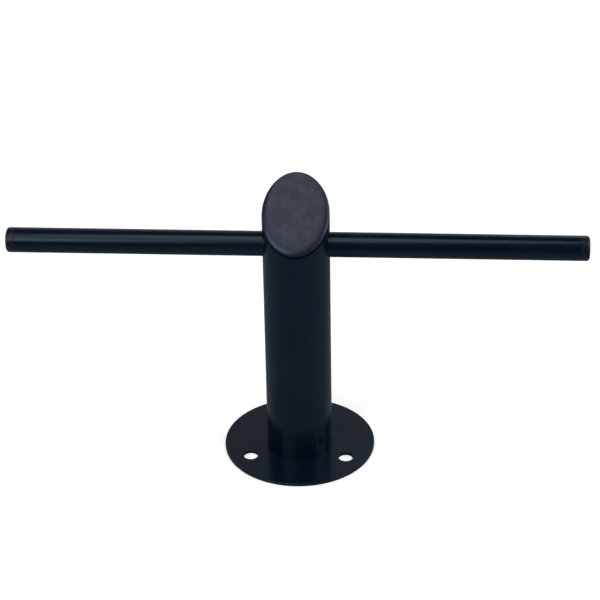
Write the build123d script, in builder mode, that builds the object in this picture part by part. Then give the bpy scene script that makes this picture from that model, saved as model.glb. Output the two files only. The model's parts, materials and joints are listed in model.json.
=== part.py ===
from build123d import *
import math
import os

# A screw-down razor stand, welded up from tube and plate. A round post stands in a thin flange.
# Its slanted top is closed by a cap, and one straight bar passes through it, so that razors hang
# by their heads on the two arms.
# Origin: the centre of the flange's underside. +X runs along the bar, -Y is the front, which the
# slanted cap faces, and +Z is up. Sizes are in millimetres and angles in degrees.

# Base flange
flange_diameter = 74.0
flange_thickness = 1.5
flange_edge_radius = 0.3
screw_circle_diameter = 54.0
screw_hole_diameter = 7.0
screw_hole_edge_break = 0.2
screw_count = 3
first_screw_angle = 90.0  # one hole behind the post and two in front of it

# Post
post_diameter = 32.0
post_wall = 1.5
post_foot_recess = 0.2  # the tube's lower end stops this far above the flange's underside

# Slanted cap
slant_angle = 40.0
cap_thickness = 1.4
cap_rim_radius = 0.5

# Bar, with its length taken over the end plugs
bar_diameter = 12.0
bar_wall = 1.0
bar_length = 275.0
bar_height = 114.0
bar_to_cap_gap = 5.8
bar_end_break = 0.2

# End plugs
plug_head_length = 4.0
plug_corner_radius = 1.6
plug_spigot_length = 9.0
plug_spigot_lead = 0.6

# Welds
flange_weld_leg = 0.9
flange_weld_recess = 0.1
cap_weld_width = 0.8
cap_weld_depth = 0.8
cap_weld_recess = 0.45
bar_weld_leg = 1.2

# Radial clearances
post_in_flange_clearance = 0.1
bar_in_post_clearance = 0.1
plug_in_bar_clearance = 0.05

# Sizes that follow from the ones above
post_radius = post_diameter / 2
post_bore_radius = post_radius - post_wall
post_socket_radius = post_radius + post_in_flange_clearance
bar_radius = bar_diameter / 2
bar_bore_radius = bar_radius - bar_wall
bar_hole_radius = bar_radius + bar_in_post_clearance
bar_tube_length = bar_length - 2 * plug_head_length
plug_spigot_radius = bar_bore_radius - plug_in_bar_clearance

# The slanted planes: the cap's outer face, its seat on the tube, and the floor of its weld groove.
# The bar's height and the gap over the bar set how high the face's centre lies.
slant = math.radians(slant_angle)
face_normal = Vector(0, -math.sin(slant), math.cos(slant))
face_height = bar_height + (bar_radius + bar_to_cap_gap + cap_thickness) / math.cos(slant)
top_height = face_height + post_radius * math.tan(slant)
cap_face = Plane(origin=(0, 0, face_height), x_dir=(1, 0, 0), z_dir=face_normal)
cap_seat = cap_face.offset(-cap_thickness)
cap_weld_floor = cap_seat.offset(-cap_weld_width)

bar_axis = Axis((0, 0, bar_height), (1, 0, 0))
sides = {"left": -1, "right": 1}

os.makedirs("parts", exist_ok=True)


# Flange: a plate with a socket for the post, bevelled below for the weld, and three screw holes.
with BuildPart() as base_flange:
    with BuildSketch(Plane.XY):
        Circle(flange_diameter / 2)
        Circle(post_socket_radius, mode=Mode.SUBTRACT)
        with PolarLocations(screw_circle_diameter / 2, screw_count, start_angle=first_screw_angle):
            Circle(screw_hole_diameter / 2, mode=Mode.SUBTRACT)
    extrude(amount=flange_thickness)
    screw_rims, socket_rims, outer_rims = (
        base_flange.edges().filter_by(GeomType.CIRCLE).group_by(SortBy.RADIUS)
    )
    fillet(outer_rims, radius=flange_edge_radius)
    chamfer(screw_rims, length=screw_hole_edge_break)
    chamfer(socket_rims.sort_by(Axis.Z)[0], length=flange_weld_leg)
base_flange.part.label = "base_flange"
export_step(base_flange.part, "parts/base_flange.step")


# Flange weld: fills the bevel under the flange, against the tube, and stays above the underside.
with BuildPart() as flange_weld:
    with BuildSketch(Plane.XZ):
        with BuildLine():
            Polyline(
                (post_radius, flange_weld_recess),
                (post_socket_radius + flange_weld_leg - flange_weld_recess, flange_weld_recess),
                (post_socket_radius, flange_weld_leg),
                (post_radius, flange_weld_leg),
                close=True,
            )
        make_face()
    revolve(axis=Axis.Z)
flange_weld.part.label = "flange_weld"
export_step(flange_weld.part, "parts/flange_weld.step")


# Groove for the cap's weld, cut into the outer edge of the tube's slanted end.
with BuildPart() as cap_weld_groove:
    with BuildSketch(Plane.XY):
        Circle(post_socket_radius)
        Circle(post_radius - cap_weld_depth, mode=Mode.SUBTRACT)
    extrude(amount=top_height)
    split(bisect_by=cap_weld_floor, keep=Keep.TOP)


# Post: a tube cut off at the slant, with a hole in each side wall for the bar.
with BuildPart() as post_tube:
    with BuildSketch(Plane.XY.offset(post_foot_recess)):
        Circle(post_radius)
        Circle(post_bore_radius, mode=Mode.SUBTRACT)
    extrude(amount=top_height)
    split(bisect_by=cap_seat, keep=Keep.BOTTOM)
    add(cap_weld_groove.part, mode=Mode.SUBTRACT)
    with BuildSketch(Plane.YZ):
        with Locations((0, bar_height)):
            Circle(bar_hole_radius)
    extrude(amount=post_diameter, both=True, mode=Mode.SUBTRACT)
post_tube.part.label = "post_tube"
export_step(post_tube.part, "parts/post_tube.step")


# Cap: an elliptical plate, ground flush with the tube, with a rounded rim.
with BuildPart() as slant_cap:
    with BuildSketch(Plane.XY):
        Circle(post_radius)
    extrude(amount=top_height)
    split(bisect_by=cap_face, keep=Keep.BOTTOM)
    split(bisect_by=cap_seat, keep=Keep.TOP)
    outer_face = slant_cap.faces().sort_by(Axis(cap_face.origin, cap_face.z_dir))[-1]
    fillet(outer_face.edges(), radius=cap_rim_radius)
slant_cap.part.label = "slant_cap"
export_step(slant_cap.part, "parts/slant_cap.step")


# Cap weld: a bead deep in the groove under the cap, which leaves a fine dark line round the post.
with BuildPart() as cap_weld:
    with BuildSketch(Plane.XY):
        Circle(post_radius - cap_weld_recess)
        Circle(post_radius - cap_weld_depth, mode=Mode.SUBTRACT)
    extrude(amount=top_height)
    split(bisect_by=cap_seat, keep=Keep.BOTTOM)
    split(bisect_by=cap_weld_floor, keep=Keep.TOP)
cap_weld.part.label = "cap_weld"
export_step(cap_weld.part, "parts/cap_weld.step")


# Bar: one straight tube through both walls of the post, its ends broken to leave a fine seam.
with BuildPart() as cross_bar:
    with BuildSketch(Plane.YZ.offset(-bar_tube_length / 2)):
        with Locations((0, bar_height)):
            Circle(bar_radius)
            Circle(bar_bore_radius, mode=Mode.SUBTRACT)
    extrude(amount=bar_tube_length)
    bar_rims = cross_bar.edges().filter_by(GeomType.CIRCLE).group_by(SortBy.RADIUS)[-1]
    chamfer(bar_rims, length=bar_end_break)
cross_bar.part.label = "cross_bar"
export_step(cross_bar.part, "parts/cross_bar.step")


# End plugs: a rounded head on the end of the bar, and a spigot inside it.
for side, direction in sides.items():
    bar_end = Plane(
        origin=(direction * bar_length / 2, 0, bar_height),
        x_dir=(direction, 0, 0),
        z_dir=(0, -direction, 0),
    )
    spigot_tip = -plug_head_length - plug_spigot_length
    with BuildPart() as bar_end_plug:
        with BuildSketch(bar_end):
            with BuildLine():
                Polyline(
                    (0, 0),
                    (0, bar_radius),
                    (-plug_head_length, bar_radius),
                    (-plug_head_length, plug_spigot_radius),
                    (spigot_tip, plug_spigot_radius),
                    (spigot_tip, 0),
                    close=True,
                )
            make_face()
        revolve(axis=bar_axis)
        rims = bar_end_plug.edges().filter_by(GeomType.CIRCLE).sort_by(Axis.X, reverse=direction < 0)
        tip_rim = rims[0]
        head_rims = rims.group_by(SortBy.RADIUS)[-1].sort_by(Axis.X, reverse=direction < 0)
        seam_rim, corner_rim = head_rims
        fillet(corner_rim, radius=plug_corner_radius)
        chamfer(seam_rim, length=bar_end_break)
        chamfer(tip_rim, length=plug_spigot_lead)
    bar_end_plug.part.label = f"bar_end_plug_{side}"
    export_step(bar_end_plug.part, f"parts/bar_end_plug_{side}.step")


# Bar welds: a fillet inside the post, all round the bar. It is a cone about the bar cut off by the
# post's bore, so it follows the saddle where the two meet and is thinnest at the bar's sides.
saddle_side = math.sqrt(post_bore_radius**2 - bar_radius**2)
weld_toe = saddle_side - bar_weld_leg
weld_top_leg = post_bore_radius - weld_toe
for side, direction in sides.items():
    bar_plane = Plane(
        origin=(0, 0, bar_height), x_dir=(direction, 0, 0), z_dir=(0, -direction, 0)
    )
    with BuildPart() as bar_weld:
        with BuildSketch(bar_plane):
            with BuildLine():
                Polyline(
                    (weld_toe, bar_radius),
                    (post_bore_radius, bar_radius),
                    (post_bore_radius, bar_radius + weld_top_leg),
                    close=True,
                )
            make_face()
        revolve(axis=bar_axis)
        with BuildSketch(Plane.XY):
            Circle(post_bore_radius)
        extrude(amount=top_height, mode=Mode.INTERSECT)
    bar_weld.part.label = f"bar_weld_{side}"
    export_step(bar_weld.part, f"parts/bar_weld_{side}.step")
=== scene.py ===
import json
import logging
import math
from collections.abc import Callable, Iterable, Sequence
from dataclasses import dataclass
from enum import Enum
from typing import Any

import bmesh
import bpy
from mathutils import Matrix, Vector
from mathutils.geometry import tessellate_polygon


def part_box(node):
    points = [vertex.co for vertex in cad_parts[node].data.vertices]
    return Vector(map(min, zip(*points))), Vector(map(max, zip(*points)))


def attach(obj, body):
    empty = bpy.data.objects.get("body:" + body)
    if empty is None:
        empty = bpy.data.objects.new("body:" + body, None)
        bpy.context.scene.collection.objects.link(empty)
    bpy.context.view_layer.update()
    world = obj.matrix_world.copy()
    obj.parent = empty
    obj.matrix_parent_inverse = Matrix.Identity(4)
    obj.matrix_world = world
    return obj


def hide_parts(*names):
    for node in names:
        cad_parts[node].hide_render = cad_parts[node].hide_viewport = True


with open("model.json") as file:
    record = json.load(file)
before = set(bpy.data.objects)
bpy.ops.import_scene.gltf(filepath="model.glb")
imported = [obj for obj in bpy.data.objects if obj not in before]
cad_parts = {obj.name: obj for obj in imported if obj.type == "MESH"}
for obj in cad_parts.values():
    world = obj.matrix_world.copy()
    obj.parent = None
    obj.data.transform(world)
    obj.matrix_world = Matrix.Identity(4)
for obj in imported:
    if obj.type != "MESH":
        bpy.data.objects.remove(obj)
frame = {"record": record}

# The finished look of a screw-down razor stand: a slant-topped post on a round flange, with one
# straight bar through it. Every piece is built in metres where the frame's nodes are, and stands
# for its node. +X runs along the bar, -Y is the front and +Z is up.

log = logging.getLogger("razor_stand")

MM = 0.001
BODY = "root"
# Coating wear at each point, and on the slant plate a painted highlight along the rim
WEAR_AND_HIGHLIGHT = "wear"
FACE = "brushed"
SHARP_ANGLE = math.radians(32)
FULL_TURN = 2 * math.pi

Colour = tuple[float, float, float, float]
ProfilePoint = tuple[float, float, float]
Inputs = dict[str | int, Any]

# Ranges of a noise pattern's value, which is about 0.5 on average
SHARP_PATCHES = (0.42, 0.58)
SOFT_PATCHES = (0.35, 0.65)
SOFTEST_PATCHES = (0.3, 0.7)


class Slot(Enum):
    """The record's material slots."""

    SATIN = "satin_black_coating"
    BRUSHED = "brushed_black_coating"
    WELD = "coated_weld"
    PLUG = "black_plug_plastic"


class Side(Enum):
    """An arm of the bar, with its direction along X."""

    LEFT = -1
    RIGHT = 1

    @property
    def word(self) -> str:
        """The side's name as node names spell it."""
        return self.name.lower()


class Span:
    """The box of one node of the frame, in metres."""

    def __init__(self, node: str) -> None:
        """Reads the node's lowest and highest corners.

        Args:
            node: Name of a node of the frame.
        """
        self.low, self.high = (Vector(corner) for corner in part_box(node))

    @property
    def size(self) -> Vector:
        """Extent along X, Y and Z."""
        return self.high - self.low

    @property
    def centre(self) -> Vector:
        """Middle of the box."""
        return (self.low + self.high) / 2


# Meshes


class MeshDraft:
    """A mesh under construction: its points, its faces, and the coating's wear at each point, a
    painted highlight on the slant plate.
    """

    def __init__(self) -> None:
        """Starts an empty draft."""
        self.points: list[Vector] = []
        self.wear: list[float] = []
        self.faces: list[tuple[int, ...]] = []

    def ring(self, points: Iterable[Vector], wear: float = 0.0) -> list[int]:
        """Adds a ring of points.

        Args:
            points: The ring's points in order.
            wear: How worn the coating is there, from 0 to 1; on the slant plate, the strength of a
                painted highlight.

        Returns:
            The indices of the new points.
        """
        start = len(self.points)
        self.points.extend(points)
        self.wear.extend([wear] * (len(self.points) - start))
        return list(range(start, len(self.points)))

    def bridge(self, first: Sequence[int], second: Sequence[int]) -> None:
        """Joins two closed rings of the same length with four-sided faces.

        Args:
            first: Indices of one ring.
            second: Indices of the other ring.
        """
        for here, (one, other) in enumerate(zip(first, second)):
            after = (here + 1) % len(first)
            self.faces.append((one, first[after], second[after], other))

    def chain(self, rings: Sequence[Sequence[int]], closed: bool = False) -> None:
        """Bridges each ring to the next one.

        Args:
            rings: The rings in order.
            closed: Whether the last ring is bridged to the first.
        """
        for first, second in zip(rings, rings[1:]):
            self.bridge(first, second)
        if closed:
            self.bridge(rings[-1], rings[0])

    def fan(self, ring: Sequence[int], centre: Vector) -> None:
        """Closes a ring with triangles that meet at a point.

        Args:
            ring: Indices of the ring.
            centre: Where the triangles meet.
        """
        (middle,) = self.ring([centre])
        for here, corner in enumerate(ring):
            self.faces.append((corner, ring[(here + 1) % len(ring)], middle))

    def fill(self, loops: Sequence[Sequence[int]]) -> None:
        """Fills the flat region between an outer loop and the loops of its holes.

        Args:
            loops: Indices of the outer loop, then of each hole.
        """
        order = [index for loop in loops for index in loop]
        outlines = [[self.points[index] for index in loop] for loop in loops]
        for triangle in tessellate_polygon(outlines):
            self.faces.append(tuple(order[corner] for corner in triangle))

    def mesh(self, name: str) -> bpy.types.Mesh:
        """Makes the mesh, with smooth faces, sharp folds and normals that point outwards.

        Args:
            name: Name of the mesh.

        Returns:
            The finished mesh.
        """
        data = bpy.data.meshes.new(name)
        data.from_pydata(self.points, [], self.faces)
        worn = data.attributes.new(WEAR_AND_HIGHLIGHT, "FLOAT", "POINT")
        worn.data.foreach_set("value", self.wear)
        turn_outwards(data)
        shade(data)
        return data


def turn_outwards(data: bpy.types.Mesh) -> None:
    """Turns every face of a closed mesh to point outwards.

    Args:
        data: The mesh to change.
    """
    work = bmesh.new()
    work.from_mesh(data)
    bmesh.ops.recalc_face_normals(work, faces=work.faces)
    work.to_mesh(data)
    work.free()


def shade(data: bpy.types.Mesh) -> None:
    """Shades a mesh smooth, apart from folds sharper than SHARP_ANGLE.

    Args:
        data: The mesh to change.
    """
    data.polygons.foreach_set("use_smooth", [True] * len(data.polygons))
    data.set_sharp_from_angle(angle=SHARP_ANGLE)
    data.update()


def around(radius: float, turn: float, height: float) -> Vector:
    """The point at a radius, an angle from +X and a height."""
    return Vector((radius * math.cos(turn), radius * math.sin(turn), height))


def turns_of(sides: int) -> list[float]:
    """Even steps of a full turn, from the +X side."""
    return [FULL_TURN * side / sides for side in range(sides)]


def circle(radius: float, height: float, sides: int, centre: Vector | None = None) -> list[Vector]:
    """Points of a level circle.

    Args:
        radius: Radius of the circle.
        height: Its height.
        sides: Number of points.
        centre: Its centre in plan, the Z axis if left out.

    Returns:
        The points in order, from the +X side.
    """
    middle = Vector((centre.x, centre.y, 0)) if centre else Vector((0, 0, 0))
    return [middle + around(radius, turn, height) for turn in turns_of(sides)]


def arc(centre: tuple[float, float], radius: float, start: float, end: float, steps: int,
        wear: float = 1.0) -> list[ProfilePoint]:
    """Points of an arc in a profile.

    Args:
        centre: Centre of the arc, as radius and height.
        radius: Radius of the arc.
        start: Start angle in degrees, from the direction away from the axis.
        end: End angle in degrees.
        steps: Number of parts.
        wear: How worn the coating is at the middle of the arc.

    Returns:
        Profile points, each a radius, a height and a wear.
    """
    points = []
    for step in range(steps + 1):
        share = step / steps
        turn = math.radians(start + (end - start) * share)
        points.append((
            centre[0] + radius * math.cos(turn),
            centre[1] + radius * math.sin(turn),
            wear * math.sin(math.pi * share),
        ))
    return points


def lathe(draft: MeshDraft, profile: Sequence[ProfilePoint], sides: int, place: Matrix) -> None:
    """Turns a profile about an axis into a closed skin.

    A profile whose ends lie on the axis makes a solid, and any other makes a closed tube.

    Args:
        draft: The draft that gets the skin.
        profile: Points as radius, height along the axis and wear.
        sides: Number of steps around the axis.
        place: Where the axis lies: its local Z is the axis.
    """
    on_axis = profile[0][0] == 0 and profile[-1][0] == 0
    turned = profile[1:-1] if on_axis else profile
    rings = [
        draft.ring((place @ point for point in circle(radius, height, sides)), wear)
        for radius, height, wear in turned
    ]
    draft.chain(rings, closed=not on_axis)
    if on_axis:
        draft.fan(rings[0], place @ Vector((0, 0, profile[0][1])))
        draft.fan(rings[-1], place @ Vector((0, 0, profile[-1][1])))


def wrap(draft: MeshDraft, column: Callable[[float], Sequence[ProfilePoint]],
         sides: int) -> list[list[int]]:
    """Adds rings round the Z axis for a section that changes with the angle.

    Args:
        draft: The draft that gets the rings.
        column: Gives the section at an angle, as radius, height and wear, which on the slant plate
            is a painted highlight.
        sides: Number of steps around the axis.

    Returns:
        The indices of each ring, in the section's order.
    """
    turns = turns_of(sides)
    rows = zip(*(column(turn) for turn in turns))
    return [
        draft.ring((around(radius, turn, height) for turn, (radius, height, _) in zip(turns, row)),
                   row[0][2])
        for row in rows
    ]


def join(data: bpy.types.Mesh, other: bpy.types.Mesh) -> None:
    """Adds another mesh's faces to a mesh, and shades it again.

    Args:
        data: The mesh to change.
        other: The mesh to add.
    """
    work = bmesh.new()
    work.from_mesh(data)
    work.from_mesh(other)
    work.to_mesh(data)
    work.free()
    shade(data)


def new_object(name: str, data: bpy.types.Mesh) -> bpy.types.Object:
    """Puts a mesh into the scene, with its object at the origin.

    Args:
        name: Name of the object.
        data: Its mesh.

    Returns:
        The new object.
    """
    made = bpy.data.objects.new(name, data)
    bpy.context.scene.collection.objects.link(made)
    return made


def plain_mesh(host: bpy.types.Object) -> bpy.types.Mesh:
    """Takes the mesh that an object's modifiers make, and leaves the modifiers behind.

    Args:
        host: The object with the modifiers.

    Returns:
        A new plain mesh.
    """
    graph = bpy.context.evaluated_depsgraph_get()
    data = bpy.data.meshes.new_from_object(host.evaluated_get(graph))
    host.modifiers.clear()
    return data


def settle(piece: bpy.types.Object, node: str, material: bpy.types.Material) -> None:
    """Dresses a finished piece and puts it in the place of its node.

    Args:
        piece: The finished piece.
        node: The node of the frame that it stands for.
        material: Its material.
    """
    piece.data.materials.clear()
    piece.data.materials.append(material)
    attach(piece, BODY)
    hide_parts(node)
    log.info("%s stands for %s: %d faces", piece.name, node, len(piece.data.polygons))


# Node trees


class Graph:
    """A node tree under construction."""

    COLUMN = 190
    # The mix node names its colour sockets like the ones for numbers, so they go by place
    MIX_FIRST, MIX_SECOND, MIX_RESULT = 6, 7, 2

    def __init__(self, tree: bpy.types.NodeTree) -> None:
        """Empties the tree.

        Args:
            tree: The tree to build in.
        """
        self.tree = tree
        self.tree.nodes.clear()

    def add(self, kind: str, inputs: Inputs | None = None, **settings: Any) -> bpy.types.Node:
        """Adds a node.

        Args:
            kind: The node's type.
            inputs: Values or output sockets for its inputs, by name or number.
            **settings: Properties of the node.

        Returns:
            The new node.
        """
        made = self.tree.nodes.new(kind)
        made.location = (self.COLUMN * len(self.tree.nodes), 0)
        for key, value in settings.items():
            setattr(made, key, value)
        for key, value in (inputs or {}).items():
            if isinstance(value, bpy.types.NodeSocket):
                self.tree.links.new(value, made.inputs[key])
            else:
                made.inputs[key].default_value = value
        return made

    def first(self, kind: str, inputs: Inputs | None = None,
              **settings: Any) -> bpy.types.NodeSocket:
        """Adds a node and gives its first output. The arguments are those of add."""
        return self.add(kind, inputs, **settings).outputs[0]

    def attribute(self, name: str) -> bpy.types.NodeSocket:
        """Reads a number that the mesh holds for each point."""
        return self.add("ShaderNodeAttribute", attribute_name=name).outputs["Fac"]

    def maths(self, operation: str, *values: Any) -> bpy.types.NodeSocket:
        """Adds a maths node that serves shaders and geometry alike.

        Args:
            operation: What it computes.
            *values: Numbers or sockets, in order.

        Returns:
            The result's socket.
        """
        return self.first("ShaderNodeMath", dict(enumerate(values)), operation=operation)

    def noise(self, place: Any, size: float, detail: float = 2.0,
              roughness: float = 0.5) -> bpy.types.NodeSocket:
        """Adds a noise pattern.

        Args:
            place: Socket of the coordinates.
            size: Size of its blotches in metres.
            detail: How many finer layers it has.
            roughness: How strong they are.

        Returns:
            The pattern's value, about 0.5 on average.
        """
        inputs = {"Vector": place, "Scale": 1 / size, "Detail": detail, "Roughness": roughness}
        return self.first("ShaderNodeTexNoise", inputs)

    def ramp(self, value: Any, low: float, high: float, start: float = 0.0,
             end: float = 1.0) -> bpy.types.NodeSocket:
        """Maps a range of a value onto another, and holds it there.

        Args:
            value: Socket of the value.
            low: Value that becomes start.
            high: Value that becomes end.
            start: Result at low.
            end: Result at high.

        Returns:
            The result's socket.
        """
        inputs = {"Value": value, "From Min": low, "From Max": high, "To Min": start, "To Max": end}
        return self.first("ShaderNodeMapRange", inputs)

    def blend(self, share: Any, first: Any, second: Any) -> bpy.types.NodeSocket:
        """Mixes two colours.

        Args:
            share: How much of the second colour there is.
            first: First colour or socket.
            second: Second colour or socket.

        Returns:
            The mixed colour's socket.
        """
        inputs = {0: share, self.MIX_FIRST: first, self.MIX_SECOND: second}
        return self.add("ShaderNodeMix", inputs, data_type="RGBA").outputs[self.MIX_RESULT]

    def bump(self, height: Any, depth: float, under: Any = None) -> bpy.types.NodeSocket:
        """Adds a bump.

        Args:
            height: Socket of the pattern's height, from 0 to 1.
            depth: What a height of 1 stands for, in metres.
            under: Socket of a bump that this one lies on.

        Returns:
            The normal's socket.
        """
        inputs: Inputs = {"Height": height, "Distance": depth, "Strength": 1.0}
        if under:
            inputs["Normal"] = under
        return self.first("ShaderNodeBump", inputs)

    def stretch(self, place: Any, turn: tuple[float, float, float],
                scale: tuple[float, float, float]) -> bpy.types.NodeSocket:
        """Turns and stretches coordinates.

        Args:
            place: Socket of the coordinates.
            turn: Rotation about X, Y and Z.
            scale: Factors along the turned axes.

        Returns:
            The new coordinates' socket.
        """
        turned = self.first("ShaderNodeMapping", {"Vector": place, "Rotation": turn})
        return self.first("ShaderNodeMapping", {"Vector": turned, "Scale": scale})


def start_material(name: str) -> tuple[bpy.types.Material, Graph, bpy.types.NodeSocket]:
    """Makes an empty node material.

    Args:
        name: Name of the material.

    Returns:
        The material, its graph, and the socket of the object's own coordinates.
    """
    material = bpy.data.materials.new(name)
    material.use_nodes = True
    graph = Graph(material.node_tree)
    return material, graph, graph.add("ShaderNodeTexCoord").outputs["Object"]


def close_material(graph: Graph, inputs: Inputs) -> None:
    """Adds the surface shader and the output.

    Args:
        graph: The material's graph.
        inputs: Inputs of the surface shader.
    """
    shader = graph.first("ShaderNodeBsdfPrincipled", inputs)
    graph.add("ShaderNodeOutputMaterial", {"Surface": shader})


class Finish:
    """A finish of the stand. Each kind holds its tones and sizes, and lays out its own nodes."""

    name: str
    shine: float
    sheen_tint: Colour

    def paint(self, graph: Graph, place: bpy.types.NodeSocket) -> Inputs:
        """Lays out the finish's nodes.

        Args:
            graph: The material's graph.
            place: Socket of the object's own coordinates.

        Returns:
            The inputs of the surface shader, apart from the shine and its tint.
        """
        raise NotImplementedError

    def build(self) -> bpy.types.Material:
        """Builds the finish's material."""
        material, graph, place = start_material(self.name)
        inputs = self.paint(graph, place)
        inputs |= {"Specular IOR Level": self.shine, "Specular Tint": self.sheen_tint}
        close_material(graph, inputs)
        return material


@dataclass(frozen=True)
class SatinCoat(Finish):
    """Satin black coating on steel: faintly mottled, with a soft orange peel and paler edges."""

    name: str = "satin_coat"
    tone: Colour = (0.0007, 0.0040, 0.0118, 1)
    pale_tone: Colour = (0.0018, 0.0058, 0.0150, 1)
    edge_tone: Colour = (0.024, 0.029, 0.036, 1)
    sheen_tint: Colour = (0.74, 0.92, 1.0, 1)
    shine: float = 0.46
    roughness: float = 0.205
    roughness_swing: float = 0.035
    mottle_size: float = 26 * MM
    cloud_divisor: float = 5
    patch_divisor: float = 12
    peel_size: float = 1.5 * MM
    peel_detail: float = 1.5
    peel_depth: float = 0.0035 * MM
    grain_size: float = 0.22 * MM
    grain_depth: float = 0.0012 * MM
    scuff_length: float = 9 * MM
    scuff_width: float = 0.25 * MM
    scuff_turn: tuple[float, float, float] = (0.35, 0.2, 0.9)
    scuff_peaks: tuple[float, float] = (0.70, 0.80)
    scuff_patches: tuple[float, float] = (0.52, 0.62)
    edge_wear: float = 0.55
    least_wear: float = 0.4

    def paint(self, graph: Graph, place: bpy.types.NodeSocket) -> Inputs:
        """Lays out the nodes.

        Args:
            graph: The material's graph.
            place: Socket of the object's own coordinates.

        Returns:
            The inputs of the surface shader.
        """
        mottle = graph.noise(place, self.mottle_size, detail=3)
        cloud = graph.noise(place, self.mottle_size / self.cloud_divisor, detail=2)
        peel = graph.noise(place, self.peel_size, self.peel_detail)
        grain = graph.noise(place, self.grain_size, detail=1)
        long_way = 1 / self.scuff_length
        across = 1 / self.scuff_width
        streak = graph.stretch(place, self.scuff_turn, (long_way, across, across))
        scuff = graph.ramp(graph.noise(streak, 1.0, detail=1), *self.scuff_peaks)
        rare_scuff = graph.maths("MULTIPLY", scuff, graph.ramp(cloud, *self.scuff_patches))
        worn = graph.attribute(WEAR_AND_HIGHLIGHT)
        patches = graph.noise(place, self.mottle_size / self.patch_divisor, detail=3)
        patchy = graph.ramp(patches, *SOFT_PATCHES, self.least_wear)
        edge = graph.maths("MULTIPLY", graph.maths("MULTIPLY", worn, patchy), self.edge_wear)
        body = graph.blend(graph.ramp(mottle, *SOFT_PATCHES), self.tone, self.pale_tone)
        colour = graph.blend(edge, body, self.edge_tone)
        low = self.roughness - self.roughness_swing
        high = self.roughness + self.roughness_swing
        base_roughness = graph.ramp(cloud, *SOFTEST_PATCHES, low, high)
        roughness = graph.maths(
            "ADD", base_roughness, graph.maths("MULTIPLY", rare_scuff, self.roughness_swing)
        )
        normal = graph.bump(grain, self.grain_depth, graph.bump(peel, self.peel_depth))
        return {"Base Color": colour, "Roughness": roughness, "Normal": normal}


@dataclass(frozen=True)
class BrushedCoat(Finish):
    """Steel brushed down the slope under a thin dark coating, with a smooth rim in painted shade
    and a painted highlight.
    """

    name: str = "brushed_coat"
    slope: float = 0.0
    tone: Colour = (0.036, 0.042, 0.061, 1)
    pale_tone: Colour = (0.052, 0.058, 0.080, 1)
    # Painted shade: the rim is coloured darker than the brushed face
    rim_shade_tone: Colour = (0.029, 0.036, 0.056, 1)
    # Painted highlight: the paler tone along the middle of the rim's rounding
    edge_tone: Colour = (0.060, 0.070, 0.096, 1)
    sheen_tint: Colour = (0.80, 0.88, 1.0, 1)
    metal: float = 0.75
    shine: float = 0.5
    roughness: float = 0.36
    rim_roughness: float = 0.30
    roughness_swing: float = 0.05
    # Strength of the painted highlight along the rim
    rim_highlight: float = 0.5
    line_width: float = 0.16 * MM
    line_length: float = 7 * MM
    line_depth: float = 0.0022 * MM
    band_across: float = 0.2
    band_along: float = 0.6
    streak_share: float = 0.42
    mottle_size: float = 4.5 * MM
    grain_size: float = 0.25 * MM
    grain_depth: float = 0.0010 * MM

    def paint(self, graph: Graph, place: bpy.types.NodeSocket) -> Inputs:
        """Lays out the nodes.

        Args:
            graph: The material's graph.
            place: Socket of the object's own coordinates.

        Returns:
            The inputs of the surface shader.
        """
        down_slope = (-self.slope, 0, 0)
        across, along = 1 / self.line_width, 1 / self.line_length
        fine = graph.stretch(place, down_slope, (across, along, across))
        across, along = self.band_across / self.line_width, self.band_along / self.line_length
        coarse = graph.stretch(place, down_slope, (across, along, across))
        lines = graph.noise(fine, 1.0, detail=2)
        bands = graph.noise(coarse, 1.0, detail=2)
        mottle = graph.noise(place, self.mottle_size, detail=3)
        grain = graph.noise(place, self.grain_size, detail=1)
        # On this plate the wear number lays a painted highlight along the rim
        on_face, worn = graph.attribute(FACE), graph.attribute(WEAR_AND_HIGHLIGHT)
        streaks = graph.maths("ADD", graph.maths("MULTIPLY", lines, 0.5),
                              graph.maths("MULTIPLY", bands, 0.5))
        pattern = graph.maths("ADD", graph.maths("MULTIPLY", streaks, self.streak_share),
                              graph.maths("MULTIPLY", mottle, 1 - self.streak_share))
        face = graph.blend(graph.ramp(pattern, *SHARP_PATCHES), self.tone, self.pale_tone)
        # Painted shade: the rim gets the darker rim tone instead of the face's streaks
        body = graph.blend(on_face, self.rim_shade_tone, face)
        # Painted highlight: the paler edge tone along the middle of the rim's rounding
        colour = graph.blend(graph.maths("MULTIPLY", worn, self.rim_highlight), body, self.edge_tone)
        low = self.roughness - self.roughness_swing
        high = self.roughness + self.roughness_swing
        spread = graph.ramp(streaks, *SOFT_PATCHES, low, high)
        from_rim = graph.maths("SUBTRACT", spread, self.rim_roughness)
        roughness = graph.maths("MULTIPLY_ADD", from_rim, on_face, self.rim_roughness)
        height = graph.maths("MULTIPLY", lines, on_face)
        normal = graph.bump(height, self.line_depth, graph.bump(grain, self.grain_depth))
        return {
            "Base Color": colour, "Metallic": self.metal, "Roughness": roughness, "Normal": normal,
        }


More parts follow.
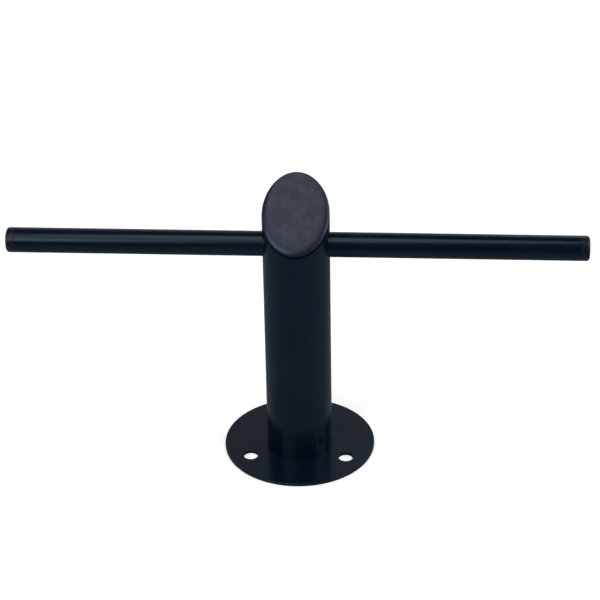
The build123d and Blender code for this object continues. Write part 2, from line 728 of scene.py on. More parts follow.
@dataclass(frozen=True)
class WeldCoat(Finish):
    """A weld bead under the same coating: rougher, pitted and a little uneven in tone."""

    name: str = "weld_coat"
    tone: Colour = (0.0020, 0.0050, 0.0100, 1)
    scale_tone: Colour = (0.0090, 0.0105, 0.0130, 1)
    sheen_tint: Colour = (0.74, 0.92, 1.0, 1)
    shine: float = 0.4
    roughness: float = 0.38
    smoother: float = 0.08
    rougher: float = 0.12
    pit_size: float = 0.35 * MM
    pit_depth: float = 0.02 * MM
    pit_slope: tuple[float, float] = (0.05, 0.3)
    blotch_size: float = 2.5 * MM
    scale_patches: tuple[float, float] = (0.42, 0.62)

    def paint(self, graph: Graph, place: bpy.types.NodeSocket) -> Inputs:
        """Lays out the nodes.

        Args:
            graph: The material's graph.
            place: Socket of the object's own coordinates.

        Returns:
            The inputs of the surface shader.
        """
        blotch = graph.noise(place, self.blotch_size, detail=4)
        cell = graph.add("ShaderNodeTexVoronoi", {"Vector": place, "Scale": 1 / self.pit_size})
        pits = graph.ramp(cell.outputs["Distance"], *self.pit_slope)
        scale = graph.ramp(blotch, *self.scale_patches)
        low, high = self.roughness - self.smoother, self.roughness + self.rougher
        return {
            "Base Color": graph.blend(scale, self.tone, self.scale_tone),
            "Roughness": graph.ramp(blotch, *SOFTEST_PATCHES, low, high),
            "Normal": graph.bump(pits, self.pit_depth),
        }


@dataclass(frozen=True)
class PlugPlastic(Finish):
    """Moulded black plastic with a fine spark-eroded grain and a polished edge."""

    name: str = "plug_plastic"
    tone: Colour = (0.0022, 0.0056, 0.0115, 1)
    pale_tone: Colour = (0.0050, 0.0085, 0.0150, 1)
    sheen_tint: Colour = (0.76, 0.92, 1.0, 1)
    shine: float = 0.5
    roughness: float = 0.31
    roughness_swing: float = 0.04
    edge_roughness: float = 0.24
    grain_size: float = 0.16 * MM
    grain_depth: float = 0.004 * MM
    flow_size: float = 3.5 * MM

    def paint(self, graph: Graph, place: bpy.types.NodeSocket) -> Inputs:
        """Lays out the nodes.

        Args:
            graph: The material's graph.
            place: Socket of the object's own coordinates.

        Returns:
            The inputs of the surface shader.
        """
        flow = graph.noise(place, self.flow_size, detail=2)
        grain = graph.noise(place, self.grain_size, detail=2)
        colour = graph.blend(graph.ramp(flow, *SOFT_PATCHES), self.tone, self.pale_tone)
        low = self.roughness - self.roughness_swing
        high = self.roughness + self.roughness_swing
        spread = graph.ramp(grain, *SOFTEST_PATCHES, low, high)
        polish = self.roughness - self.edge_roughness
        smoother = graph.maths("MULTIPLY", graph.attribute(WEAR_AND_HIGHLIGHT), polish)
        return {
            "Base Color": colour,
            "Roughness": graph.maths("SUBTRACT", spread, smoother),
            "Normal": graph.bump(grain, self.grain_depth),
        }


# Geometry Nodes


class GeometryTree:
    """A Geometry Nodes tree with named inputs, which takes geometry in and gives a mesh out."""

    def __init__(self, name: str, inputs: dict[str, str]) -> None:
        """Makes the tree's interface.

        Args:
            name: Name of the tree.
            inputs: Socket type of each named input after the geometry.
        """
        tree = bpy.data.node_groups.new(name, "GeometryNodeTree")
        tree.interface.new_socket("Geometry", in_out="INPUT", socket_type="NodeSocketGeometry")
        for label, kind in {**inputs, "Material": "NodeSocketMaterial"}.items():
            tree.interface.new_socket(label, in_out="INPUT", socket_type=kind)
        tree.interface.new_socket("Geometry", in_out="OUTPUT", socket_type="NodeSocketGeometry")
        self.tree = tree
        self.graph = Graph(tree)
        self.inputs = self.graph.add("NodeGroupInput").outputs

    def close(self, geometry: bpy.types.NodeSocket) -> None:
        """Ends the tree: instances are realised and the material is set.

        Args:
            geometry: Socket of the finished geometry.
        """
        real = self.graph.first("GeometryNodeRealizeInstances", {"Geometry": geometry})
        inputs = {"Geometry": real, "Material": self.inputs["Material"]}
        dressed = self.graph.first("GeometryNodeSetMaterial", inputs)
        self.graph.add("NodeGroupOutput", {"Geometry": dressed})

    def capture(self, geometry: bpy.types.NodeSocket, kind: str, value: bpy.types.NodeSocket,
                name: str) -> bpy.types.Node:
        """Stores a value on the points of some geometry, for use after it changes.

        Args:
            geometry: Socket of the geometry.
            kind: The value's type.
            value: Socket of the value.
            name: Name of the node's socket for it.

        Returns:
            The node, which gives the geometry and the stored value.
        """
        store = self.graph.add("GeometryNodeCaptureAttribute", {"Geometry": geometry},
                               domain="POINT")
        store.capture_items.new(kind, name)
        self.graph.tree.links.new(value, store.inputs[name])
        return store

    def run(self, host: bpy.types.Object, values: dict[str, Any]) -> bpy.types.Mesh:
        """Runs the tree on an object.

        Args:
            host: The object whose geometry goes in.
            values: Value of each named input.

        Returns:
            The result as a plain mesh.
        """
        modifier = host.modifiers.new(self.tree.name, "NODES")
        modifier.node_group = self.tree
        for item in self.tree.interface.items_tree:
            if item.in_out == "INPUT" and item.name in values:
                modifier[item.identifier] = values[item.name]
        return plain_mesh(host)


class WeldTree(GeometryTree):
    """Lays a rippled weld bead along a closed path."""

    LUMP_SIZE = 1.1 * MM

    def __init__(self) -> None:
        """Builds the tree."""
        super().__init__("weld_bead", {
            "Half Width": "NodeSocketFloat",
            "Half Height": "NodeSocketFloat",
            "Ripples": "NodeSocketInt",
            "Steps Per Ripple": "NodeSocketInt",
            "Sides": "NodeSocketInt",
            "Ripple Depth": "NodeSocketFloat",
            "Ripple Lag": "NodeSocketFloat",
            "Unevenness": "NodeSocketFloat",
            "Seed": "NodeSocketFloat",
        })
        graph, inputs = self.graph, self.inputs
        path = graph.first("GeometryNodeMeshToCurve", {"Mesh": inputs["Geometry"]})
        steps = graph.maths("MULTIPLY", inputs["Ripples"], inputs["Steps Per Ripple"])
        even = graph.first("GeometryNodeResampleCurve", {"Curve": path, "Count": steps})
        level = graph.first("GeometryNodeSetCurveNormal", {"Curve": even}, mode="Z_UP")
        share = graph.add("GeometryNodeSplineParameter").outputs["Factor"]
        along = self.capture(level, "FLOAT", share, "along")
        ring = graph.first("GeometryNodeCurvePrimitiveCircle",
                           {"Resolution": inputs["Sides"], "Radius": 1.0})
        across = self.capture(ring, "VECTOR", graph.first("GeometryNodeInputPosition"), "across")
        size = graph.first("ShaderNodeCombineXYZ",
                           {"X": inputs["Half Width"], "Y": inputs["Half Height"], "Z": 1.0})
        section = graph.first("GeometryNodeTransform",
                              {"Geometry": across.outputs["Geometry"], "Scale": size})
        bead = graph.first("GeometryNodeCurveToMesh",
                           {"Curve": along.outputs["Geometry"], "Profile Curve": section})
        sideways = graph.add("ShaderNodeSeparateXYZ", {0: across.outputs["across"]}).outputs["X"]
        lag = graph.maths("MULTIPLY", graph.maths("POWER", graph.maths("ABSOLUTE", sideways), 2.0),
                          inputs["Ripple Lag"])
        count = graph.maths("MULTIPLY", along.outputs["along"], inputs["Ripples"])
        phase = graph.maths("MULTIPLY", graph.maths("SUBTRACT", count, lag), FULL_TURN)
        wave = graph.maths("MULTIPLY", graph.maths("SINE", phase), inputs["Ripple Depth"])
        lump = graph.first("ShaderNodeTexNoise", {
            "Vector": graph.first("GeometryNodeInputPosition"),
            "W": inputs["Seed"],
            "Scale": 1 / self.LUMP_SIZE,
            "Detail": 1.0,
        }, noise_dimensions="4D")
        rise = graph.maths("MULTIPLY", graph.maths("SUBTRACT", lump, 0.5), inputs["Unevenness"])
        outwards = graph.first("GeometryNodeInputNormal")
        push = graph.first("ShaderNodeVectorMath",
                           {0: outwards, "Scale": graph.maths("ADD", wave, rise)},
                           operation="SCALE")
        laid = graph.first("GeometryNodeSetPosition", {"Geometry": bead, "Offset": push})
        self.close(laid)


class RibTree(GeometryTree):
    """Repeats a rib at even steps along a line."""

    def __init__(self) -> None:
        """Builds the tree."""
        super().__init__("spigot_ribs", {"Count": "NodeSocketInt", "Step": "NodeSocketVector"})
        graph, inputs = self.graph, self.inputs
        line = graph.first("GeometryNodeMeshLine",
                           {"Count": inputs["Count"], "Offset": inputs["Step"]}, mode="OFFSET")
        ribs = graph.first("GeometryNodeInstanceOnPoints",
                           {"Points": line, "Instance": inputs["Geometry"]})
        self.close(ribs)


# The stand's pieces


@dataclass
class Flange:
    """The round plate that is screwed down, with a socket for the post and three screw holes."""

    edge: float = 0.3 * MM
    hole_edge: float = 0.2 * MM
    socket_edge: float = 0.1 * MM
    socket_clearance: float = 0.1 * MM
    first_hole: float = math.pi / 2
    guard: float = 0.25 * MM
    outer_sides: int = 256
    socket_sides: int = 192
    hole_sides: int = 72
    arc_steps: int = 6

    def __post_init__(self) -> None:
        """Reads the plate's sizes from the frame."""
        span = Span("base_flange")
        mounts = frame["record"]["mounts"]
        screws = next(mount for mount in mounts if mount["name"] == "screw_holes")
        self.radius = span.size.x / 2
        self.thickness = span.high.z
        self.socket_radius = Span("post_tube").size.x / 2 + self.socket_clearance
        self.bevel = Span("flange_weld").high.z
        self.hole_radius = screws["dims"]["hole_r_mm"] * MM
        self.circle_radius = screws["dims"]["pcd_mm"] / 2 * MM
        self.hole_count = screws["dims"]["count"]

    def outer_profile(self) -> list[ProfilePoint]:
        """The rim's section, from the top face round to the underside."""
        inner = self.radius - self.edge
        top, bottom = self.thickness - self.edge, self.edge
        return [
            (inner - self.guard, self.thickness, 0),
            *arc((inner, top), self.edge, 90, 0, self.arc_steps),
            *arc((inner, bottom), self.edge, 0, -90, self.arc_steps),
            (inner - self.guard, 0, 0),
        ]

    def hole_profile(self, radius: float, edge: float, bevel: float) -> list[ProfilePoint]:
        """A hole's section, from the top face round to the underside.

        Args:
            radius: Radius of the hole.
            edge: Rounding of its upper edge.
            bevel: Size of its lower edge, rounded if it is the same as the upper one.

        Returns:
            The section's points.
        """
        upper = arc((radius + edge, self.thickness - edge), edge, 90, 180, self.arc_steps)
        lower = arc((radius + edge, edge), edge, 180, 270, self.arc_steps)
        if bevel != edge:
            lower = [(radius, bevel, 0), (radius + bevel, 0, 0)]
        return [
            (radius + edge + self.guard, self.thickness, 0),
            *upper,
            *lower,
            (radius + bevel + self.guard, 0, 0),
        ]

    def build(self, material: bpy.types.Material) -> None:
        """Builds and dresses the plate.

        Args:
            material: Its material.
        """
        draft = MeshDraft()
        socket = self.hole_profile(self.socket_radius, self.socket_edge, self.bevel)
        hole = self.hole_profile(self.hole_radius, self.hole_edge, self.hole_edge)
        outlines = [
            (self.outer_profile(), self.outer_sides, Vector((0, 0, 0))),
            (socket, self.socket_sides, Vector((0, 0, 0))),
        ]
        for turn in turns_of(self.hole_count):
            spot = around(self.circle_radius, self.first_hole + turn, 0)
            outlines.append((hole, self.hole_sides, spot))
        tops, bottoms = [], []
        for profile, sides, centre in outlines:
            rings = [
                draft.ring(circle(radius, height, sides, centre), wear)
                for radius, height, wear in profile
            ]
            draft.chain(rings)
            tops.append(rings[0])
            bottoms.append(rings[-1])
        draft.fill(tops)
        draft.fill(bottoms)
        piece = new_object("flange_plate", draft.mesh("flange_plate"))
        settle(piece, "base_flange", material)


@dataclass
class SlantedEnd:
    """The slanted planes at the top of the post, square to the direction up and to the front."""

    slope: float = math.radians(40)
    cap_thickness: float = 1.4 * MM

    def __post_init__(self) -> None:
        """Works out the height of the outer face's centre from the cap's lowest point."""
        cap = Span("slant_cap")
        self.radius = cap.size.x / 2
        drop = self.radius * math.tan(self.slope)
        self.face_height = cap.low.z + self.cap_thickness / math.cos(self.slope) + drop

    def height(self, radius: float, turn: float, depth: float) -> float:
        """Height of a plane parallel to the face.

        Args:
            radius: Distance from the post's axis.
            turn: Angle round the post from +X.
            depth: Distance of the plane under the outer face, square to it.

        Returns:
            The height there.
        """
        centre = self.face_height - depth / math.cos(self.slope)
        return centre + radius * math.sin(turn) * math.tan(self.slope)


@dataclass
class Post:
    """The upright tube, cut off at the slant, with a hole in each side wall for the bar."""

    end: SlantedEnd
    wall: float = 1.5 * MM
    groove_width: float = 0.8 * MM
    groove_depth: float = 0.8 * MM
    groove_undercut: float = 0.45 * MM
    bar_clearance: float = 0.1 * MM
    foot_edge: float = 0.15 * MM
    sides: int = 256
    rows: int = 40
    cutter_sides: int = 160

    def __post_init__(self) -> None:
        """Reads the tube's sizes from the frame."""
        span = Span("post_tube")
        self.radius = span.size.x / 2
        self.foot = span.low.z
        bar = Span("cross_bar")
        self.hole_radius = bar.size.z / 2 + self.bar_clearance
        self.hole_height = bar.centre.z

    def column(self, turn: float) -> list[ProfilePoint]:
        """The wall's section at one angle, as a closed loop without wear.

        Args:
            turn: Angle round the post from +X.

        Returns:
            The section's points.
        """
        outer, inner = self.radius, self.radius - self.wall
        step = self.radius - self.groove_depth
        seat = self.end.cap_thickness
        floor = seat + self.groove_width
        low = self.foot + self.foot_edge
        outer_top = self.end.height(outer, turn, floor)
        inner_top = self.end.height(inner, turn, seat)
        rise = [row / self.rows for row in range(self.rows + 1)]
        return [
            *((outer, low + (outer_top - low) * share, 0) for share in rise),
            (step, self.end.height(step, turn, floor) - self.groove_undercut, 0),
            (step, self.end.height(step, turn, seat), 0),
            *((inner, inner_top + (low - inner_top) * share, 0) for share in rise),
            (inner + self.foot_edge, self.foot, 0),
            (outer - self.foot_edge, self.foot, 0),
        ]

    def build(self, material: bpy.types.Material) -> None:
        """Builds and dresses the tube.

        Args:
            material: Its material.
        """
        draft = MeshDraft()
        draft.chain(wrap(draft, self.column, self.sides), closed=True)
        piece = new_object("post_upright", draft.mesh("post_upright"))
        self.drill(piece)
        settle(piece, "post_tube", material)

    def drill(self, piece: bpy.types.Object) -> None:
        """Cuts the bar's hole through both walls.

        Args:
            piece: The tube.
        """
        reach = 2 * self.radius
        draft = MeshDraft()
        profile = [(0, -reach, 0), (self.hole_radius, -reach, 0),
                   (self.hole_radius, reach, 0), (0, reach, 0)]
        lathe(draft, profile, self.cutter_sides, along_bar(self.hole_height))
        cutter = new_object("bar_hole_cutter", draft.mesh("bar_hole_cutter"))
        cut = piece.modifiers.new("bar_hole", "BOOLEAN")
        cut.operation = "DIFFERENCE"
        cut.solver = "EXACT"
        cut.object = cutter
        piece.data = plain_mesh(piece)
        shade(piece.data)
        bpy.data.objects.remove(cutter)


def along_bar(height: float, side: Side = Side.RIGHT, start: float = 0.0) -> Matrix:
    """Places a turned piece on the bar's axis.

    Args:
        height: Height of the bar's axis.
        side: The way that the piece's local Z points along X.
        start: Where its local origin is along X.

    Returns:
        The placing matrix.
    """
    turn = Matrix.Rotation(side.value * math.pi / 2, 4, "Y")
    return Matrix.Translation((start, 0, height)) @ turn


@dataclass
class SlantCap:
    """The plate on the slanted end: a nearly flat brushed face with a soft rim."""

    end: SlantedEnd
    front_rim: float = 3.2 * MM
    side_rim: float = 2.6 * MM
    back_rim: float = 1.0 * MM
    drop_share: float = 0.78
    crown: float = 0.08 * MM
    crown_power: int = 4
    # How narrow the rim's painted highlight is
    rim_highlight_power: int = 4
    guard: float = 0.3 * MM
    sides: int = 256
    arc_steps: int = 14
    shares: tuple[float, ...] = (0.12, 0.3, 0.5, 0.7, 0.85)

    def rim(self, turn: float) -> float:
        """How far the rounding reaches onto the face: less at the sharp back than at the sides.

        Args:
            turn: Angle round the post from +X.

        Returns:
            Distance from the sharp corner to where the rounding starts.
        """
        back = math.sin(turn)
        tilt = (self.back_rim - self.front_rim) / 2
        bow = (self.back_rim + self.front_rim) / 2 - self.side_rim
        return self.side_rim + tilt * back + bow * back * back

    def face(self, radius: float, turn: float) -> float:
        """Height of the outer face, which falls a little towards the rim.

        Args:
            radius: Distance from the post's axis.
            turn: Angle round the post from +X.

        Returns:
            The height there.
        """
        fall = self.crown * (radius / self.end.radius) ** self.crown_power
        return self.end.height(radius, turn, 0) - fall

    def column(self, turn: float) -> list[ProfilePoint]:
        """The plate's section at one angle, from near the face's centre to near the seat's.

        Args:
            turn: Angle round the post from +X.

        Returns:
            Points as radius, height and the strength of the rim's painted highlight.
        """
        outer = self.end.radius
        corner = Vector((outer, self.face(outer, turn)))
        inwards = Vector((-1, -math.sin(turn) * math.tan(self.end.slope))).normalized()
        down = Vector((0, -1))
        reach = self.rim(turn)
        side_height = self.end.cap_thickness / math.cos(self.end.slope)
        drop = min(reach, self.drop_share * side_height)
        weight = math.sin(inwards.angle(down) / 2)
        rounding = []
        for step in range(self.arc_steps + 1):
            share = step / self.arc_steps
            first, last = (1 - share) ** 2, share ** 2
            pull = 2 * weight * share * (1 - share)
            offset = (inwards * reach * first + down * drop * last) / (first + pull + last)
            spot = corner + offset
            # Painted highlight, strongest at the middle of the rounding
            wear = math.sin(math.pi * share) ** self.rim_highlight_power
            rounding.append((spot.x, spot.y, wear))
        edge = rounding[0][0]
        shares = [share * edge for share in self.shares] + [edge - self.guard]
        seat = self.end.cap_thickness
        return [
            *((radius, self.face(radius, turn), 0) for radius in shares),
            *rounding,
            (outer, self.end.height(outer, turn, seat), 0),
            (outer - self.guard, self.end.height(outer - self.guard, turn, seat), 0),
        ]

    def build(self, material: bpy.types.Material) -> None:
        """Builds and dresses the plate.

        Args:
            material: Its material.
        """
        draft = MeshDraft()
        rings = wrap(draft, self.column, self.sides)
        draft.chain(rings)
        draft.fan(rings[0], Vector((0, 0, self.face(0, 0))))
        draft.fan(rings[-1], Vector((0, 0, self.end.height(0, 0, self.end.cap_thickness))))
        data = draft.mesh("slant_plate")
        self.mark_face(data, len(self.shares) + 2)
        settle(new_object("slant_plate", data), "slant_cap", material)

    def mark_face(self, data: bpy.types.Mesh, rings: int) -> None:
        """Marks the points of the brushed face, which the material reads.

        Args:
            data: The plate's mesh.
            rings: Number of rings, from the centre, that are brushed.
        """
        centre = (rings + self.arc_steps + 2) * self.sides
        brushed = data.attributes.new(FACE, "FLOAT", "POINT")
        for index, point in enumerate(brushed.data):
            point.value = float(index < rings * self.sides or index == centre)


@dataclass
class Bar:
    """The straight bar, one thin tube through the post."""

    wall: float = 1.0 * MM
    end_break: float = 0.2 * MM
    end_wear: float = 0.6
    sides: int = 128

    def __post_init__(self) -> None:
        """Reads the bar's sizes from the frame."""
        span = Span("cross_bar")
        self.half_length = span.size.x / 2
        self.radius = span.size.z / 2
        self.height = span.centre.z

    def build(self, material: bpy.types.Material) -> None:
        """Builds and dresses the bar.

        Args:
            material: Its material.
        """
        outer, inner = self.radius, self.radius - self.wall
        end, guard = self.half_length, 4 * self.end_break
        half = [
            (inner, end, 0),
            (outer - self.end_break, end, self.end_wear),
            (outer, end - self.end_break, self.end_wear),
            (outer, end - guard, 0),
        ]
        mirrored = [(radius, -height, wear) for radius, height, wear in reversed(half)]
        draft = MeshDraft()
        lathe(draft, [*half, *mirrored], self.sides, along_bar(self.height))
        piece = new_object("hanging_bar", draft.mesh("hanging_bar"))
        settle(piece, "cross_bar", material)


@dataclass
class EndPlug:
    """A plug in one end of the bar: a rounded head, and a ribbed spigot that grips the bore."""

    side: Side
    head: float = 4.0 * MM
    corner: float = 1.6 * MM
    end_break: float = 0.2 * MM
    corner_wear: float = 0.7
    seam_wear: float = 0.6
    gate_wear: float = 0.3
    guard: float = 0.15 * MM
    spigot_radius: float = 4.95 * MM
    core_radius: float = 4.35 * MM
    gate_radius: float = 0.9 * MM
    gate_depth: float = 0.12 * MM
    inner_share: float = 0.6
    rib_count: int = 4
    rib_gap: float = 0.8 * MM
    rib_width: float = 0.5 * MM
    rib_shape: tuple[float, float, float] = (0.4, 0.6, 1.6)
    rib_pitch: float = 1.9 * MM
    sides: int = 128
    arc_steps: int = 12

    def __post_init__(self) -> None:
        """Reads the plug's sizes from the frame."""
        span = Span(f"bar_end_plug_{self.side.word}")
        self.radius = span.size.z / 2
        self.length = span.size.x
        self.tip = span.high.x if self.side is Side.RIGHT else span.low.x
        self.place = along_bar(span.centre.z, self.side, self.tip)

    def head_and_core(self) -> MeshDraft:
        """The head and the plain core of the spigot, as one turned skin."""
        flat = self.radius - self.corner
        seam = -self.head
        profile = [
            (0, -self.gate_depth, 0),
            (self.gate_radius * self.inner_share, -self.gate_depth, 0),
            (self.gate_radius, 0, self.gate_wear),
            (flat * self.inner_share, 0, 0),
            (flat - self.guard, 0, 0),
            *arc((flat, -self.corner), self.corner, 90, 0, self.arc_steps, self.corner_wear),
            (self.radius, seam + 4 * self.end_break, 0),
            (self.radius, seam + self.end_break, self.seam_wear),
            (self.radius - self.end_break, seam, self.seam_wear),
            (self.core_radius, seam, 0),
            (self.core_radius, -self.length + self.end_break, 0),
            (self.core_radius - self.end_break, -self.length, 0),
            (0, -self.length, 0),
        ]
        draft = MeshDraft()
        lathe(draft, profile, self.sides, self.place)
        return draft

    def ribs(self, tree: RibTree, material: bpy.types.Material) -> bpy.types.Mesh:
        """The spigot's grip ribs.

        Args:
            tree: The tree that repeats a rib.
            material: The plug's material.

        Returns:
            All ribs as one mesh.
        """
        start = -self.head - self.rib_gap
        root, crest = self.core_radius - self.end_break, self.spigot_radius
        rise, fall, foot = (start - self.rib_width * share for share in self.rib_shape)
        profile = [(root, start, 0), (crest, rise, 0), (crest, fall, 0), (root, foot, 0)]
        draft = MeshDraft()
        lathe(draft, profile, self.sides // 2, self.place)
        host = new_object("rib_seed", draft.mesh("rib_seed"))
        step = Vector((-self.side.value * self.rib_pitch, 0, 0))
        made = tree.run(host, {"Count": self.rib_count, "Step": step, "Material": material})
        bpy.data.objects.remove(host)
        return made

    def build(self, tree: RibTree, material: bpy.types.Material) -> None:
        """Builds and dresses the plug.

        Args:
            tree: The tree that repeats a rib.
            material: The plug's material.
        """
        name = f"end_plug_{self.side.word}"
        data = self.head_and_core().mesh(name)
        join(data, self.ribs(tree, material))
        settle(new_object(name, data), f"bar_end_plug_{self.side.word}", material)


@dataclass
class WeldBead:
    """One weld: a rippled bead along a closed path."""

    name: str
    node: str
    path: Callable[[float], Vector]
    half_width: float
    half_height: float
    ripples: int
    ripple_depth: float
    unevenness: float
    seed: float
    lag: float = 0.35
    steps_per_ripple: int = 8
    sides: int = 20
    path_points: int = 360

    def build(self, tree: WeldTree, material: bpy.types.Material) -> None:
        """Builds and dresses the bead.

        Args:
            tree: The tree that lays a bead.
            material: Its material.
        """
        count = self.path_points
        points = [self.path(turn) for turn in turns_of(count)]
        edges = [(step, (step + 1) % count) for step in range(count)]
        line = bpy.data.meshes.new(f"{self.name}_path")
        line.from_pydata(points, edges, [])
        host = new_object(f"{self.name}_path", line)
        data = tree.run(host, {
            "Half Width": self.half_width,
            "Half Height": self.half_height,
            "Ripples": self.ripples,
            "Steps Per Ripple": self.steps_per_ripple,
            "Sides": self.sides,
            "Ripple Depth": self.ripple_depth,
            "Ripple Lag": self.lag,
            "Unevenness": self.unevenness,
            "Seed": self.seed,
            "Material": material,
        })
        bpy.data.objects.remove(host)
        turn_outwards(data)
        shade(data)
        settle(new_object(self.name, data), self.node, material)


@dataclass
class Welds:
    """The stand's four welds."""

    end: SlantedEnd
    post: Post
    bar: Bar
    root_offset: float = 0.45 * MM
    bar_bead: float = 1.4 * MM
    cap_bead_width: float = 0.16 * MM
    cap_bead_height: float = 0.38 * MM
    cap_recess: float = 0.45 * MM
    flange_gap: float = 0.05 * MM

    def flange_path(self, turn: float) -> Vector:
        """Centre line of the weld under the flange.

        Args:
            turn: Angle round the post.

        Returns:
            The point there.
        """
        span = Span("flange_weld")
        radius = (self.post.radius + span.size.x / 2) / 2
        return around(radius, turn, span.centre.z)

    def cap_path(self, turn: float) -> Vector:
        """Centre line of the weld in the groove under the cap.

        Args:
            turn: Angle round the post.

        Returns:
            The point there.
        """
        radius = self.end.radius - self.cap_recess - self.cap_bead_width
        depth = self.end.cap_thickness + self.post.groove_width / 2
        return around(radius, turn, self.end.height(radius, turn, depth))

    def bar_path(self, side: Side, turn: float) -> Vector:
        """Centre line of a fillet inside the post, on the saddle where the bar meets the bore.

        Args:
            side: The arm that it is welded to.
            turn: Angle round the bar.

        Returns:
            The point there.
        """
        ring = self.bar.radius + self.root_offset
        bore = self.post.radius - self.post.wall
        across = ring * math.cos(turn)
        wall = math.sqrt(bore * bore - across * across)
        height = self.bar.height + ring * math.sin(turn)
        return Vector((side.value * (wall - self.root_offset), across, height))

    def beads(self) -> list[WeldBead]:
        """The four beads, with their own sizes and seeds."""
        flange = Span("flange_weld")
        made = [
            WeldBead("flange_bead", "flange_weld", self.flange_path,
                     half_width=(flange.size.x / 2 - self.post.radius) / 2,
                     half_height=flange.size.z / 2 - self.flange_gap,
                     ripples=96, ripple_depth=0.035 * MM, unevenness=0.05 * MM, seed=3.0),
            WeldBead("cap_bead", "cap_weld", self.cap_path,
                     half_width=self.cap_bead_width, half_height=self.cap_bead_height,
                     ripples=120, ripple_depth=0.012 * MM, unevenness=0.03 * MM, seed=7.0,
                     sides=16, steps_per_ripple=6),
        ]
        for side in Side:
            made.append(WeldBead(
                f"bar_bead_{side.word}", f"bar_weld_{side.word}",
                lambda turn, side=side: self.bar_path(side, turn),
                half_width=self.bar_bead, half_height=self.bar_bead,
                ripples=34, ripple_depth=0.09 * MM, unevenness=0.18 * MM, seed=11.0 + side.value,
            ))
        return made


# The studio

PAPER: Inputs = {"Roughness": 0.9, "Specular IOR Level": 0.1}


def disc(name: str, radius: float, height: float, sides: int) -> bpy.types.Object:
    """Makes a flat disc that faces up.

    Args:
        name: Name of the disc.
        radius: Its radius.
        height: Its height.
        sides: Sides round it.

    Returns:
        The disc.
    """
    draft = MeshDraft()
    draft.fan(draft.ring(circle(radius, height, sides)), Vector((0, 0, height)))
    data = draft.mesh(name)
    if data.polygons[0].normal.z < 0:
        data.flip_normals()
    return new_object(name, data)


def dress(made: bpy.types.Object, material: bpy.types.Material, *hidden: str) -> None:
    """Gives a part of the studio its material, and hides it from some kinds of ray.

    Args:
        made: The part.
        material: Its material.
        hidden: Kinds of ray that don't see it.
    """
    for kind in hidden:
        setattr(made, f"visible_{kind}", False)
    made.data.materials.append(material)


@dataclass(frozen=True)
class Softbox:
    """A large soft light that faces the stand."""

    name: str
    place: tuple[float, float, float]
    width: float
    height: float
    radiance: float
    roll: float = 0.0
    mirrored: bool = True

    def build(self, target: Vector) -> None:
        """Hangs the light and turns it to the target.

        Args:
            target: The point that it faces.
        """
        lamp = bpy.data.lights.new(self.name, "AREA")
        lamp.shape = "RECTANGLE"
        lamp.size, lamp.size_y = self.width, self.height
        lamp.energy = self.radiance * math.pi * self.width * self.height
        made = bpy.data.objects.new(self.name, lamp)
        made.location = self.place
        aim = target - Vector(self.place)
        turn = aim.to_track_quat("-Z", "Y").to_matrix() @ Matrix.Rotation(self.roll, 3, "Z")
        made.rotation_euler = turn.to_euler()
        made.visible_glossy = self.mirrored
        bpy.context.scene.collection.objects.link(made)


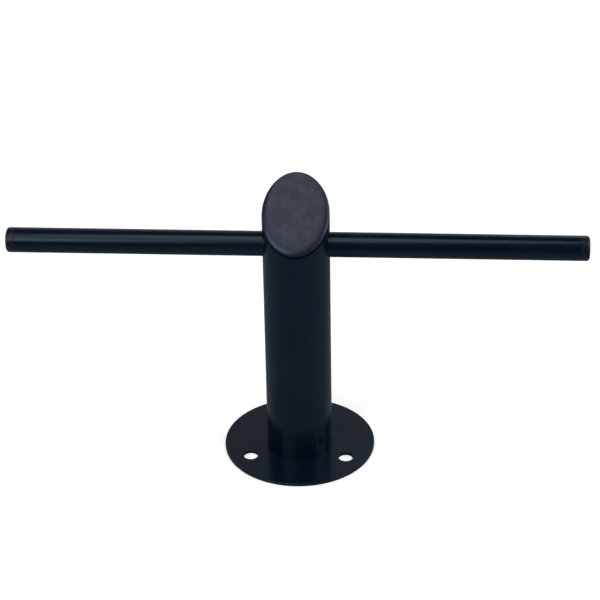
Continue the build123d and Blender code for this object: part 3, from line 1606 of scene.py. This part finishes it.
@dataclass(frozen=True)
class Studio:
    """A pale floor, soft lights and the camera."""

    sides: int = 96
    floor_radius: float = 12.0
    floor_drop: float = 0.1 * MM
    floor_cloud: float = 0.3
    floor_tone: Colour = (0.82, 0.82, 0.82, 1)
    floor_shade: float = 0.985
    floor_glow: float = 0.36
    far_glow: float = 0.84
    far_start: float = 0.6
    far_end: float = 3.2
    shade_cloud: float = 0.02
    shade_tones: tuple[Colour, Colour] = ((0.01, 0.01, 0.01, 1), (0.02, 0.02, 0.02, 1))
    backdrop_radius: float = 11.5
    backdrop_rows: int = 24
    backdrop_cloud: float = 2.0
    backdrop_shade: float = 0.99
    backdrop_glow: float = 0.93
    camera_distance: float = 1.0527
    camera_azimuth: float = math.radians(3.83)
    camera_elevation: float = math.radians(31.36)
    camera_roll: float = math.radians(-1.04)
    camera_lens: float = 132.1
    camera_sensor: float = 36.0
    camera_clip: tuple[float, float] = (0.01, 100.0)
    camera_target: tuple[float, float, float] = (1.35 * MM, 0.0, 83.1 * MM)
    room_tone: Colour = (0.80, 0.95, 1.0, 1)
    wall_tone: Colour = (1.0, 0.99, 0.96, 1)
    room_dim: float = 0.03
    room_floor: float = 0.16
    room_back: float = 0.50
    room_side: float = 0.35
    back_wall: tuple[float, float] = (0.1, 0.7)
    side_walls: tuple[float, float] = (0.45, 0.85)
    ceiling: tuple[float, float] = (0.85, 0.20)
    skirting: tuple[float, float] = (-0.45, -0.20)
    room_boards: tuple[float, float] = (-0.15, -0.50)
    wall_light: tuple[float, float] = (0.05, 0.25)

    def floor(self) -> None:
        """Lays the floor. Its own glow keeps it pale, and reflections don't see it."""
        made = disc("studio_floor", self.floor_radius, -self.floor_drop, self.sides)
        material, graph, place = start_material("studio_paper")
        cloud = graph.noise(place, self.floor_cloud, detail=2)
        darker = tuple(self.floor_shade * value for value in self.floor_tone[:3]) + (1,)
        reach = graph.add("ShaderNodeVectorMath", {0: place}, operation="LENGTH").outputs["Value"]
        glow = graph.ramp(reach, self.far_start, self.far_end, self.floor_glow, self.far_glow)
        close_material(graph, PAPER | {
            "Base Color": graph.blend(cloud, self.floor_tone, darker),
            "Emission Color": (1, 1, 1, 1),
            "Emission Strength": glow,
        })
        dress(made, material, "glossy")

    def shade_under_plate(self) -> None:
        """Lays a dark disc under the plate for reflections alone: the floor is in shade there."""
        radius = Span("base_flange").size.x / 2 - self.floor_drop
        made = disc("studio_shade", radius, -self.floor_drop / 2, self.sides)
        material, graph, place = start_material("studio_shade_paper")
        cloud = graph.noise(place, self.shade_cloud, detail=2)
        close_material(graph, PAPER | {"Base Color": graph.blend(cloud, *self.shade_tones)})
        dress(made, material, "camera", "diffuse", "shadow", "transmission", "volume_scatter")

    def backdrop(self) -> None:
        """Hangs a pale dome behind everything, which neither lights the stand nor shows in it."""
        draft = MeshDraft()
        rings = []
        for row in range(self.backdrop_rows):
            rise = math.pi / 2 * row / self.backdrop_rows
            radius, height = math.cos(rise), math.sin(rise)
            ring = circle(self.backdrop_radius * radius, self.backdrop_radius * height, self.sides)
            rings.append(draft.ring(ring))
        draft.chain(rings)
        draft.fan(rings[-1], Vector((0, 0, self.backdrop_radius)))
        made = new_object("studio_backdrop", draft.mesh("studio_backdrop"))
        material, graph, place = start_material("studio_backdrop_paper")
        cloud = graph.noise(place, self.backdrop_cloud, detail=2)
        low = self.backdrop_shade * self.backdrop_glow
        glow = graph.ramp(cloud, 0, 1, low, self.backdrop_glow)
        light = graph.first("ShaderNodeEmission", {"Strength": glow})
        graph.add("ShaderNodeOutputMaterial", {"Surface": light})
        dress(made, material, "diffuse", "glossy", "shadow", "transmission", "volume_scatter")

    def room(self) -> None:
        """Lights the room: dim in front, and brighter at the walls and on the floor far off."""
        world = bpy.data.worlds.new("studio_room")
        world.use_nodes = True
        graph = Graph(world.node_tree)
        way = graph.add("ShaderNodeTexCoord").outputs["Generated"]
        parts = graph.add("ShaderNodeSeparateXYZ", {0: way}).outputs
        back = graph.ramp(parts["Y"], *self.back_wall, 0, self.room_back)
        sideways = graph.maths("ABSOLUTE", parts["X"])
        side = graph.ramp(sideways, *self.side_walls, 0, self.room_side)
        level = graph.maths("MULTIPLY", graph.ramp(parts["Z"], *self.ceiling),
                            graph.ramp(parts["Z"], *self.skirting))
        wall = graph.maths("MULTIPLY", graph.maths("ADD", back, side), level)
        floor = graph.ramp(parts["Z"], *self.room_boards, self.room_dim,
                           self.room_dim + self.room_floor)
        tint = graph.blend(graph.ramp(wall, *self.wall_light), self.room_tone, self.wall_tone)
        strength = graph.maths("ADD", wall, floor)
        light = graph.first("ShaderNodeBackground", {"Color": tint, "Strength": strength})
        graph.add("ShaderNodeOutputWorld", {"Surface": light})
        bpy.context.scene.world = world

    def lights(self) -> None:
        """Hangs the softboxes."""
        target = Vector(self.camera_target)
        boxes = (
            Softbox("key_softbox", (-0.10, -0.36, 1.30), 0.54, 0.90, 1.27, roll=math.radians(-5)),
            Softbox("left_softbox", (-0.62, -0.88, 0.78), 0.90, 0.70, 1.85),
            Softbox("right_softbox", (1.10, -0.15, 0.90), 0.90, 1.10, 1.5),
            Softbox("rear_softbox", (0.5, 1.4, 1.1), 0.8, 0.6, 0.4),
            Softbox("overhead_fill", (0.0, -0.2, 2.4), 3.2, 3.2, 1.5, mirrored=False),
        )
        for box in boxes:
            box.build(target)

    def camera(self) -> None:
        """Sets up the camera, a little to the right of the front and above."""
        target = Vector(self.camera_target)
        turn, rise = self.camera_azimuth, self.camera_elevation
        back = Vector((
            math.sin(turn) * math.cos(rise),
            -math.cos(turn) * math.cos(rise),
            math.sin(rise),
        ))
        right = Vector((math.cos(turn), math.sin(turn), 0))
        up = back.cross(right)
        roll = Matrix.Rotation(self.camera_roll, 3, "Z")
        axes = Matrix((right, up, back)).transposed() @ roll
        data = bpy.data.cameras.new("front_camera")
        data.lens = self.camera_lens
        data.sensor_width = self.camera_sensor
        data.clip_start, data.clip_end = self.camera_clip
        made = bpy.data.objects.new("front_camera", data)
        made.matrix_world = Matrix.Translation(target + back * self.camera_distance) @ axes.to_4x4()
        bpy.context.scene.collection.objects.link(made)
        bpy.context.scene.camera = made

    def build(self) -> None:
        """Builds the studio."""
        self.floor()
        self.shade_under_plate()
        self.backdrop()
        self.room()
        self.lights()
        self.camera()
        bpy.context.scene.view_settings.view_transform = "Standard"


@dataclass
class RazorStand:
    """The whole stand."""

    def build(self) -> None:
        """Builds every piece in order, from the floor up."""
        end = SlantedEnd()
        satin = SatinCoat().build()
        brushed = BrushedCoat(slope=end.slope).build()
        weld = WeldCoat().build()
        plastic = PlugPlastic().build()
        post, bar = Post(end), Bar()
        Flange().build(satin)
        post.build(satin)
        bar.build(satin)
        SlantCap(end).build(brushed)
        rib_tree = RibTree()
        for side in Side:
            EndPlug(side).build(rib_tree, plastic)
        weld_tree = WeldTree()
        for bead in Welds(end, post, bar).beads():
            bead.build(weld_tree, weld)


def main() -> None:
    """Builds the stand and the studio."""
    logging.basicConfig(level=logging.INFO, format="%(name)s: %(message)s")
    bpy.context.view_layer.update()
    RazorStand().build()
    Studio().build()
    bpy.context.view_layer.update()


if __name__ == "__main__":
    main()
